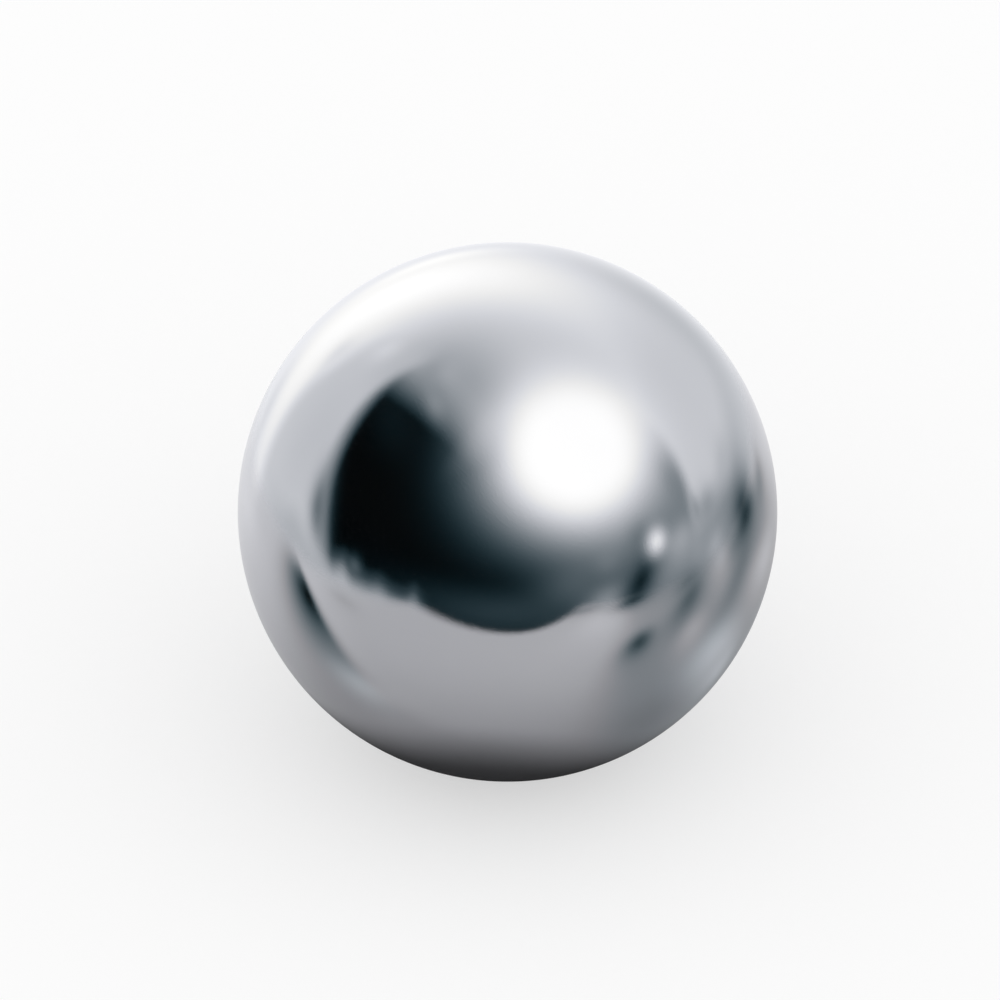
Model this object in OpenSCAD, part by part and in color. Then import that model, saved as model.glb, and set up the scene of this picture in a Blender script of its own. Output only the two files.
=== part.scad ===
// Polished steel ball: one solid sphere, ground and lapped all over.
// The origin is the centre of the ball, with +Z up.

/* [Ball] */
// Diameter of the ball, in millimetres
ball_d = 25; // [1:0.1:105]

/* [Hidden] */
// Facets round the equator when the sphere is drawn as a mesh
ball_facets = 180;

// The whole part: a true sphere with no flat, hole, seam or core
module ball() {
    color("silver")
        sphere(d = ball_d, $fn = ball_facets);
}

ball();
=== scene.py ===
import math

import bmesh
import bpy
from mathutils import Matrix, Vector


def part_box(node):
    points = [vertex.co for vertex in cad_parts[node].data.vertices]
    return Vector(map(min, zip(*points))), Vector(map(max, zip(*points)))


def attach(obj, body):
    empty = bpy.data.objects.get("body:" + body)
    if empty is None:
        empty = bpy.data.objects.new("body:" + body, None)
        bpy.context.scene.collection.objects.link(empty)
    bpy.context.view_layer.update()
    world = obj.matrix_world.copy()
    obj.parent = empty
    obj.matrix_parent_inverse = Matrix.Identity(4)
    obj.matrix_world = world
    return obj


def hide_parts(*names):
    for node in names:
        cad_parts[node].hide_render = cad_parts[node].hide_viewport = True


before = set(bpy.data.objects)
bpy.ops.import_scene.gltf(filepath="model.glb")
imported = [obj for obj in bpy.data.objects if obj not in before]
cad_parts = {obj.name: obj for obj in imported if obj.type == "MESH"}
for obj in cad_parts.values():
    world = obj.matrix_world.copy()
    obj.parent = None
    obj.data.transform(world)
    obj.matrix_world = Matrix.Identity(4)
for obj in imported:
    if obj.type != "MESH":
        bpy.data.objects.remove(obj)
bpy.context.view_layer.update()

# the ball as the frame gives it, in metres
low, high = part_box("ball")
ballRadius = max(high - low) / 2
ballCentre = (low + high) / 2
floorLevel = ballCentre.z - ballRadius
print("ball radius", round(ballRadius * 1000, 3), "mm")


# a shader socket that can stand in a sum
class Wire:
    mixColours = (6, 7)  # places of the Mix node's two colour inputs, and of its colour output
    mixResult = 2

    def __init__(self, tree, socket=None):
        self.tree = tree
        self.socket = socket

    # any node: its type, its settings, then the values or links of its sockets
    def node(self, kind, settings=None, sockets=None, out=0):
        made = self.tree.nodes.new("ShaderNode" + kind)
        for name, value in (settings or {}).items():
            setattr(made, name, value)
        for name, value in (sockets or {}).items():
            if isinstance(value, Wire):
                self.tree.links.new(value.socket, made.inputs[name])
            else:
                made.inputs[name].default_value = value
        return Wire(self.tree, made.outputs[out] if made.outputs else None)

    def math(self, operation, *others):
        return self.node("Math", {"operation": operation}, dict(enumerate((self, *others))))

    def flip(self, operation, other):
        return self.node("Math", {"operation": operation}, {0: other, 1: self})

    def __add__(self, other):
        return self.math("ADD", other)

    def __radd__(self, other):
        return self.flip("ADD", other)

    def __sub__(self, other):
        return self.math("SUBTRACT", other)

    def __rsub__(self, other):
        return self.flip("SUBTRACT", other)

    def __mul__(self, other):
        return self.math("MULTIPLY", other)

    def __rmul__(self, other):
        return self.flip("MULTIPLY", other)

    def __truediv__(self, other):
        return self.math("DIVIDE", other)

    def __rtruediv__(self, other):
        return self.flip("DIVIDE", other)

    # 0 up to start, 1 from end, and soft between; start may be the larger
    def ease(self, start, end):
        return self.node(
            "MapRange",
            {"interpolation_type": "SMOOTHSTEP"},
            {"Value": self, "From Min": start, "From Max": end},
        )

    # bell curve, 1 where this is 0
    def bell(self):
        return (self * self * -1).math("EXPONENT")

    # puts a tone over this one where the mask is 1
    def under(self, mask, tone):
        return self + (tone - self) * mask

    # one colour where this is 0, the other where it is 1
    def between(self, first, second):
        colours = [one if isinstance(one, Wire) else (*one, 1) for one in (first, second)]
        sockets = {"Factor": self, **dict(zip(self.mixColours, colours))}
        return self.node("Mix", {"data_type": "RGBA"}, sockets, out=self.mixResult)

    # hue for light of this brightness, bluer where it is dark; a low knee keeps the blue to the darkest
    def tinted(self, full, knee, dark, pale):
        share = self / full
        return (share * (1 + knee) / (share + knee)).math("MINIMUM", 1).between(dark, pale)


plainWhite = (1, 1, 1, 1)


# empty nodes for a material or a world
def newTree(owner):
    owner.use_nodes = True
    owner.node_tree.nodes.clear()
    return Wire(owner.node_tree)


# camera, from where the ball lies in the photograph
shot = dict(
    frameSide=1000,  # pixels
    ballAt=(507.5, 511.9),
    ballPixels=269.8,  # radius
    elevation=35,
    lens=145,  # millimetres
    sensor=36,
    clip=(1, 1000),  # ball radii
)


def makeCamera():
    lensPixels = shot["lens"] / shot["sensor"] * shot["frameSide"]
    distance = ballRadius * math.hypot(1, lensPixels / shot["ballPixels"])
    tilt = math.radians(shot["elevation"])
    back = Vector((0, -math.cos(tilt), math.sin(tilt)))
    right = Vector((1, 0, 0))
    up = back.cross(right)
    perPixel = distance / lensPixels
    half = shot["frameSide"] / 2
    offset = right * (half - shot["ballAt"][0]) + up * (shot["ballAt"][1] - half)
    camera = bpy.data.objects.new("camera", bpy.data.cameras.new("camera"))
    camera.data.lens = shot["lens"]
    camera.data.sensor_width = shot["sensor"]
    camera.data.clip_start, camera.data.clip_end = (ballRadius * reach for reach in shot["clip"])
    camera.location = ballCentre + back * distance + offset * perPixel
    camera.rotation_euler = (math.pi / 2 - tilt, 0, 0)
    bpy.context.scene.collection.objects.link(camera)
    bpy.context.scene.camera = camera
    print("camera", round(distance / ballRadius, 2), "ball radii away")


makeCamera()


# direction by azimuth, 0 towards the camera and 90 to its right, and elevation, in degrees
def heading(azimuth, elevation):
    turn, rise = math.radians(azimuth), math.radians(elevation)
    return Vector((math.sin(turn) * math.cos(rise), -math.cos(turn) * math.cos(rise), math.sin(rise)))


# light tent that the ball mirrors: pale cloth, an open dark front, a softbox and a bright back wall.
# azimuths, elevations and widths are in degrees and tones are brightness, 1 for white
tent = dict(
    white=1.0,  # plain light for all but mirrors
    cloth=0.97,
    tint=dict(full=1, knee=0.1, dark=(0.25, 1.0, 1.33), pale=(0.99, 1.0, 1.03)),
    lampTint=(1.01, 1.0, 0.97),
    lampTones=(1.05, 1.5),  # tones over which the cloth's tint gives way to the lamps'
    shades=[  # the ceiling, the left and back right walls, and the edge of the back wall
        dict(azimuth=-65, elevation=77, width=35, height=19, tone=0.54),
        dict(azimuth=-108, elevation=12, width=18, height=25, tone=0.89),
        dict(azimuth=-116, elevation=49, width=9, height=12, tone=0.82),
        dict(azimuth=-118, elevation=61.5, width=7, height=6, tone=0.6),
        dict(azimuth=154, elevation=-2, width=16, height=14, tone=0.84),
        dict(azimuth=-136.5, elevation=15, width=5, height=6, tone=1.2),
        dict(azimuth=-132, elevation=37, width=5, height=6, tone=1.08),
    ],
    backWall=dict(azimuth=-159, elevation=16, width=26, height=47, tilt=48, tone=0.73),
    backEdge=dict(start=(-131.5, -12), end=(-136, 28), within=(-170, 10), soft=(-8, 4)),
    opening=dict(
        tone=0.001,
        haze=0.31,  # light in the right half of the opening
        hazeSpan=(-5, 100),
        gleam=dict(azimuth=-88, elevation=46, width=16, height=9, tone=0.009),  # faint, upper left
        left=dict(start=(-82.4, -5), end=(-117, 45), within=(-20, 20), soft=(-5, 7.5)),
        right=dict(start=(93.8, 28), end=(86.7, 8), within=(-20, 20), soft=(-4, 4)),
        topLeft=dict(start=(-112, 52.5), end=(-30, 63.5), within=(-20, 20), soft=(-11.5, 11.5)),
        topRight=dict(start=(-20, 64), end=(98, 15), within=(20, 20), soft=(-12, 12)),
        topTurn=(-45, -5),  # azimuths over which one top edge gives way to the other
    ),
    hem=dict(
        elevation=-11,
        left=(-128, -98),  # azimuths over which it starts and ends
        right=(-29, -39),
        folds=[(-97, 5, 9), (-69.5, 2.5, 3.5), (-52, 1.7, 3.8), (-37, 3.1, 3)],  # azimuth, rise, width
        soft=(5, -5.2),  # heights over which it fades in
        tone=0.74,
        fringe=dict(soft=(10, 0), tone=0.15),  # faint light above it
    ),
    table=dict(azimuth=94, width=35, level=(6, -7), tone=0.46),  # its far right part
    cards=[  # dark and bright patches, each over those before it
        dict(azimuth=-170, elevation=-3, width=8, height=6, tone=1.48),  # foot of the back wall
        dict(azimuth=-148, elevation=-20, width=7, height=9, tone=1.05),
        dict(azimuth=-86, elevation=63, width=8, height=3.7, tone=0.43),  # left edges of the opening
        dict(azimuth=-88, elevation=3, width=5.5, height=12, tilt=27, tone=0.27),
        dict(azimuth=-64, elevation=-5, width=3, height=3.5, tone=0.16),  # between two folds
        dict(azimuth=1, elevation=-7.5, width=35, height=9, tone=0.06),  # lower front of the opening
        dict(azimuth=29, elevation=1.5, width=13, height=8.5, tone=0.135),
        dict(azimuth=42, elevation=6.5, width=6, height=5, tone=0.2),
        dict(azimuth=40, elevation=-9, width=8, height=6, tone=0.42),
        dict(azimuth=57.5, elevation=12.5, width=6, height=6, tone=0.08),  # right of the opening
        dict(azimuth=82, elevation=20.5, width=5, height=6.5, tone=0.19),
        dict(azimuth=93, elevation=-0.7, width=6.5, height=6, tone=0.5),
        dict(azimuth=112, elevation=0, width=7, height=6, tone=0.8),
        dict(azimuth=75.5, elevation=-1, width=8, height=6, tone=0.58),
        dict(azimuth=87.3, elevation=2.8, width=2.8, height=5, tone=0.5),
        dict(azimuth=76, elevation=-16, width=9, height=4.5, tone=0.25),
        dict(azimuth=93, elevation=-12.8, width=5, height=4, tone=0.62),
        dict(azimuth=114.7, elevation=-15.7, width=11.5, height=8, tilt=-35, tone=0.05),
        dict(azimuth=54.6, elevation=-5.5, width=6.8, height=13, tilt=-37, tone=0.01),
        dict(azimuth=64.5, elevation=4.9, width=4.6, height=4.7, tone=1.3),  # small lamp
    ],
    softbox=dict(azimuth=49, elevation=52.5, width=27, height=24.3, tilt=-4, tone=4.2),
    softboxLimit=1.72,
    softboxKnee=1.6,
)


def makeTent():
    world = bpy.data.worlds.new("tent")
    bpy.context.scene.world = world
    wire = newTree(world)
    way = wire.node("TexCoord", out="Generated")

    def along(vector):
        return wire.node("VectorMath", {"operation": "DOT_PRODUCT"}, {0: way, 1: vector}, out="Value")

    # soft round patch, 1 in its middle
    def glow(azimuth, elevation, width, height, tilt=0, **rest):
        ahead = heading(azimuth, elevation)
        side = heading(azimuth + 90, 0)
        turn = Matrix.Rotation(math.radians(tilt), 3, ahead)
        across = along(turn @ side).math("ARCTAN2", along(ahead)).math("DEGREES") / width
        upward = along(turn @ side.cross(ahead)).math("ARCSINE").math("DEGREES") / height
        return across.bell() * upward.bell()

    # 1 on one side of a straight edge that runs through two points
    def beside(start, end, within, soft):
        square = heading(*start).cross(heading(*end)).normalized()
        if square.dot(heading(*within)) < 0:
            square.negate()
        return along(square).math("ARCSINE").math("DEGREES").ease(*soft)

    azimuth = along(Vector((1, 0, 0))).math("ARCTAN2", along(Vector((0, -1, 0)))).math("DEGREES")
    elevation = along(Vector((0, 0, 1))).math("ARCSINE").math("DEGREES")

    # pale cloth, shaded in places, and a lit back wall
    wall = tent["backWall"]
    light = glow(**wall) * beside(**tent["backEdge"]) * wall["tone"] + tent["cloth"]
    for shade in tent["shades"]:
        light = light.under(glow(**shade), shade["tone"])

    # open front, dark at its left and hazy at its right
    front = tent["opening"]
    top = beside(**front["topLeft"]).under(azimuth.ease(*front["topTurn"]), beside(**front["topRight"]))
    hole = beside(**front["left"]) * beside(**front["right"]) * top
    gleam = glow(**front["gleam"]) * front["gleam"]["tone"] + front["tone"]
    light = light.under(hole, azimuth.ease(*front["hazeSpan"]) * front["haze"] + gleam)

    # hem of the cloth along the lower left of the opening, in folds
    hem = tent["hem"]
    height = elevation - hem["elevation"]
    for place, rise, width in hem["folds"]:
        height = height - ((azimuth - place) / width).bell() * rise
    span = azimuth.ease(*hem["left"]) * azimuth.ease(*hem["right"])
    fringe = height.ease(*hem["fringe"]["soft"]) * span * hem["fringe"]["tone"]
    light = light.math("MAXIMUM", fringe).under(height.ease(*hem["soft"]) * span, hem["tone"])

    # the table, dark and bright cards, then the softbox over all
    table = tent["table"]
    beyond = ((azimuth - table["azimuth"]) / table["width"]).bell() * elevation.ease(*table["level"])
    light = light.under(beyond, table["tone"])
    for card in tent["cards"]:
        light = light.under(glow(**card), card["tone"])
    box = glow(**tent["softbox"]) * tent["softbox"]["tone"]
    box = box.math("SMOOTH_MIN", tent["softboxLimit"], tent["softboxKnee"])
    light = light * (1 - (box / tent["softboxLimit"]).math("MINIMUM", 1)) + box

    # only mirrors see the tent, and all else is lit by plain white
    mirror = wire.node("LightPath", out="Is Glossy Ray")
    hue = light.ease(*tent["lampTones"]).between(light.tinted(**tent["tint"]), tent["lampTint"])
    studio = wire.node("Background", None, {"Color": hue, "Strength": light})
    plain = wire.node("Background", None, {"Color": plainWhite, "Strength": tent["white"]})
    shown = wire.node("MixShader", None, {0: mirror, 1: plain, 2: studio})
    wire.node("OutputWorld", None, {"Surface": shown})
    print("tent has", len(world.node_tree.nodes), "nodes")


makeTent()


def makePlane(name, reach, level):
    bm = bmesh.new()
    bmesh.ops.create_grid(bm, x_segments=1, y_segments=1, size=reach)
    bmesh.ops.translate(bm, vec=(ballCentre.x, ballCentre.y, level), verts=bm.verts)
    plane = bpy.data.objects.new(name, bpy.data.meshes.new(name))
    bm.to_mesh(plane.data)
    bm.free()
    bpy.context.scene.collection.objects.link(plane)
    return plane


# pale floor that the camera sees, partly as plain white, so that the ball's shadow stays light
floor = dict(
    reach=200,  # ball radii
    colour=(0.975, 0.975, 0.975),
    roughness=0.9,
    whiteShare=0.5,
)


def makeFloor():
    plane = makePlane("floor", floor["reach"] * ballRadius, floorLevel)
    plane.visible_glossy = False
    matte = bpy.data.materials.new("floor")
    wire = newTree(matte)
    paint = wire.node(
        "BsdfDiffuse", None, {"Color": (*floor["colour"], 1), "Roughness": floor["roughness"]}
    )
    white = wire.node("Emission", None, {"Color": plainWhite, "Strength": tent["white"]})
    seen = wire.node("LightPath", out="Is Camera Ray") * floor["whiteShare"]
    shown = wire.node("MixShader", None, {0: seen, 1: paint, 2: white})
    wire.node("OutputMaterial", None, {"Surface": shown})
    plane.data.materials.append(matte)


makeFloor()

# table sheet that only the ball mirrors, with painted shade in front of and under the ball and a painted
# shadow of the ball; places and lengths are in ball radii, y is away from the camera
sheet = dict(
    reach=14,
    lift=0.001,
    tint=dict(full=0.55, knee=0.5, dark=(0.45, 1.0, 1.2), pale=(1.0, 1.0, 1.03)),
    nearEdge=dict(y=-5, middle=0.6, bend=1.25, slope=0.3, blur=0.6, soft=(-0.25, 0.65)),
    leftFade=(-6.5, -3.5),
    rightFade=(6.5, 3),
    backFade=(4, 1.6),
    backSlope=0.25,
    sideTone=0.84,
    # painted shade on the table in front of the ball
    front=dict(slope=0.3, span=(-0.6, 1.2), tone=0.67),
    right=dict(corner=(-1.0, 0.2), start=(0, 0.8), slope=0.2, back=(2.2, 0.2), tone=0.45),
    # long shade at the left, curved, and crisper by the factor front on the side towards the camera
    crescent=dict(x=-2.95, y=-0.78, length=1.85, width=0.7, turn=-11.5, curve=0.05, front=4, tone=0.003),
    # streaks and patches, most of them at the right, among them a painted shadow of the ball
    marks=[
        dict(x=-2.4, y=1.5, length=0.8, width=0.6, turn=0, tone=0.96),
        dict(x=-3.7, y=-2.05, length=0.6, width=0.4, turn=0, tone=0.6),
        dict(x=2.65, y=-4.05, length=1.7, width=0.8, turn=-50, tone=0.8),
        dict(x=5, y=-4.5, length=1.2, width=0.75, turn=-30, tone=0.03),
        dict(x=4.8, y=-1.7, length=1.0, width=0.5, turn=0, tone=0.25),
        dict(x=3.5, y=-1.3, length=1.35, width=0.42, turn=0, tone=0.17),
        # painted shadow of the ball, cast to its front right, in this mark and the next
        dict(x=1.35, y=-1.22, length=1.1, width=0.45, turn=-48, tone=0.38),
        dict(x=1.92, y=-1.88, length=0.48, width=0.25, turn=-25, tone=0.09),
        dict(x=3.6, y=-7, length=1.2, width=0.9, turn=-50, tone=0.42),
        dict(x=4.8, y=-0.2, length=1.5, width=0.4, turn=3, tone=0.8),
        dict(x=2.6, y=0.12, length=1.1, width=0.35, turn=37, tone=0.32),
        dict(x=3.5, y=2.1, length=1.3, width=0.55, turn=50, tone=0.42),
        dict(x=4.5, y=1.3, length=1.4, width=0.85, turn=37, tone=0.05),
        dict(x=1.95, y=0.8, length=0.5, width=0.5, turn=20, tone=0.74),
        dict(x=2.05, y=-0.88, length=0.45, width=0.25, turn=0, tone=0.6),
    ],
    # patches round the foot of the ball, among them painted shade round the foot and the start of the
    # ball's painted shadow, and the painted shade under it, which are not tinted
    feet=[
        # painted shade round the foot of the ball
        dict(x=0, y=0, length=1.3, width=1.3, turn=0, tone=0.42),
        dict(x=-1.12, y=-0.97, length=0.36, width=0.22, turn=-35, tone=0.67),
        # painted shadow of the ball, where it leaves the foot
        dict(x=0.9, y=-0.66, length=0.3, width=0.3, turn=0, tone=0.34),
        dict(x=1.48, y=-0.3, length=0.4, width=0.4, turn=0, tone=0.8),
        dict(x=1.18, y=-0.1, length=0.22, width=0.2, turn=0, tone=0.75),
    ],
    contact=dict(x=-0.07, stretch=1.5, radii=(1.32, 0.6), tone=0.095),
)


def makeSheet():
    plane = makePlane("sheet", sheet["reach"] * ballRadius, floorLevel + sheet["lift"] * ballRadius)
    plane.visible_camera = plane.visible_diffuse = plane.visible_shadow = False
    matte = bpy.data.materials.new("sheet")
    wire = newTree(matte)
    where = wire.node("TexCoord", out="Object")
    x = wire.node("SeparateXYZ", None, {"Vector": where}, out="X") / ballRadius
    y = wire.node("SeparateXYZ", None, {"Vector": where}, out="Y") / ballRadius

    # painted shade in front of the ball, and darker still to its right
    front, right = sheet["front"], sheet["right"]
    ahead = (x * front["slope"] - y).ease(*front["span"])
    beyond = (y - x * right["slope"]).ease(*right["back"])
    beyond = beyond * (x + y).ease(*right["corner"]) * x.ease(*right["start"])
    tone = sheet["sideTone"] - ahead * (sheet["sideTone"] - front["tone"])
    tone = tone.under(beyond, right["tone"])

    # soft spot, 1 in its middle
    def spot(mark):
        turn = math.radians(mark["turn"])
        dx, dy = x - mark["x"], y - mark["y"]
        lengthwise = dx * math.cos(turn) + dy * math.sin(turn)
        across = dy * math.cos(turn) - dx * math.sin(turn)
        if "curve" in mark:
            across = across - lengthwise * lengthwise * mark["curve"]
            across = across.math("MAXIMUM", across * -mark["front"])
        return (lengthwise / mark["length"]).bell() * (across / mark["width"]).bell()

    # streaks, patches and a painted shadow of the ball, then the patches and painted shade round and
    # under the ball
    for mark in (sheet["crescent"], *sheet["marks"]):
        tone = tone.under(spot(mark), mark["tone"])
    hue = tone.tinted(**sheet["tint"])
    for mark in sheet["feet"]:
        tone = tone.under(spot(mark), mark["tone"])
    contact = sheet["contact"]
    wide = (x - contact["x"]) * contact["stretch"]
    tone = tone.under((wide * wide + y * y).math("SQRT").ease(*contact["radii"]), contact["tone"])

    # a bowed front edge that blurs to its sides, and the other sides lost in the cloth
    near = sheet["nearEdge"]
    aside = (x - near["middle"]) / near["bend"]
    bow = (aside * aside + 1).math("SQRT") * near["bend"] - near["bend"]
    inside = y - near["y"] + x * near["slope"] + bow
    solid = (inside / (bow * near["blur"] + 1)).ease(*near["soft"])
    solid = solid * x.ease(*sheet["leftFade"]) * x.ease(*sheet["rightFade"])
    solid = solid * (y - x * sheet["backSlope"]).ease(*sheet["backFade"])

    colour = wire.node("VectorMath", {"operation": "SCALE"}, {0: hue, "Scale": tone})
    paint = wire.node("BsdfDiffuse", None, {"Color": colour})
    clear = wire.node("BsdfTransparent")
    shown = wire.node("MixShader", None, {0: solid, 1: clear, 2: paint})
    wire.node("OutputMaterial", None, {"Surface": shown})
    plane.data.materials.append(matte)


makeSheet()
print("studio made")


# polished steel, a lapped mirror with faint clouds and hairline lapping marks; sizes are in ball radii
steel = dict(
    dark=(0.568, 0.573, 0.594),
    pale=(0.582, 0.587, 0.606),
    shift=(0.3, 0.7),  # part of the cloud noise over which the colour changes
    roughness=0.065,
    cloud=dict(size=0.5, detail=3),
    cloudMiddle=0.5,  # cloud noise that leaves the roughness as it is
    cloudRoughness=0.024,
    hairline=dict(size=0.012, detail=1, stretch=60),
    hairlineTurns=[(0, 0, 0), (62, 15, 0), (118, 40, 70), (75, 100, 25)],  # degrees
    hairlineShare=(0.62, 0.76),  # part of its noise that shows as a mark
    hairlineRoughness=0.014,
    relief=dict(strength=0.05, depth=0.0004),
)


def makeSteel():
    metal = bpy.data.materials.new("polished_steel")
    wire = newTree(metal)
    where = wire.node("TexCoord", out="Object")

    # noise with its grain drawn out along a turned axis
    def grain(size, detail, stretch=1, turn=(0, 0, 0)):
        span = size * ballRadius
        turned = [math.radians(angle) for angle in turn]
        placed = wire.node(
            "Mapping",
            {"vector_type": "TEXTURE"},
            {"Vector": where, "Rotation": turned, "Scale": (span, span, span * stretch)},
        )
        return wire.node("TexNoise", None, {"Vector": placed, "Scale": 1, "Detail": detail})

    cloud = grain(**steel["cloud"])
    lines = None
    for turn in steel["hairlineTurns"]:
        line = grain(**steel["hairline"], turn=turn).ease(*steel["hairlineShare"])
        lines = lines.math("MAXIMUM", line) if lines else line
    roughness = (cloud - steel["cloudMiddle"]) * steel["cloudRoughness"] + steel["roughness"]
    roughness = roughness + lines * steel["hairlineRoughness"]
    relief = wire.node(
        "Bump",
        None,
        {
            "Height": lines,
            "Strength": steel["relief"]["strength"],
            "Distance": steel["relief"]["depth"] * ballRadius,
        },
    )
    shader = wire.node(
        "BsdfPrincipled",
        None,
        {
            "Base Color": cloud.ease(*steel["shift"]).between(steel["dark"], steel["pale"]),
            "Metallic": 1.0,
            "Roughness": roughness,
            "Normal": relief,
        },
    )
    wire.node("OutputMaterial", None, {"Surface": shader})
    print("steel has", len(metal.node_tree.nodes), "nodes")
    return metal


ball = dict(name="polished_ball", subdivisions=7)


def makeBall():
    bm = bmesh.new()
    bmesh.ops.create_icosphere(bm, subdivisions=ball["subdivisions"], radius=ballRadius)
    bmesh.ops.translate(bm, vec=ballCentre, verts=bm.verts)
    for face in bm.faces:
        face.smooth = True
    piece = bpy.data.objects.new(ball["name"], bpy.data.meshes.new(ball["name"]))
    bm.to_mesh(piece.data)
    bm.free()
    piece.data.materials.append(makeSteel())
    bpy.context.scene.collection.objects.link(piece)
    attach(piece, "root")
    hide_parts("ball")
    print("ball has", len(piece.data.polygons), "faces")


makeBall()

bpy.context.scene.view_settings.view_transform = "Standard"
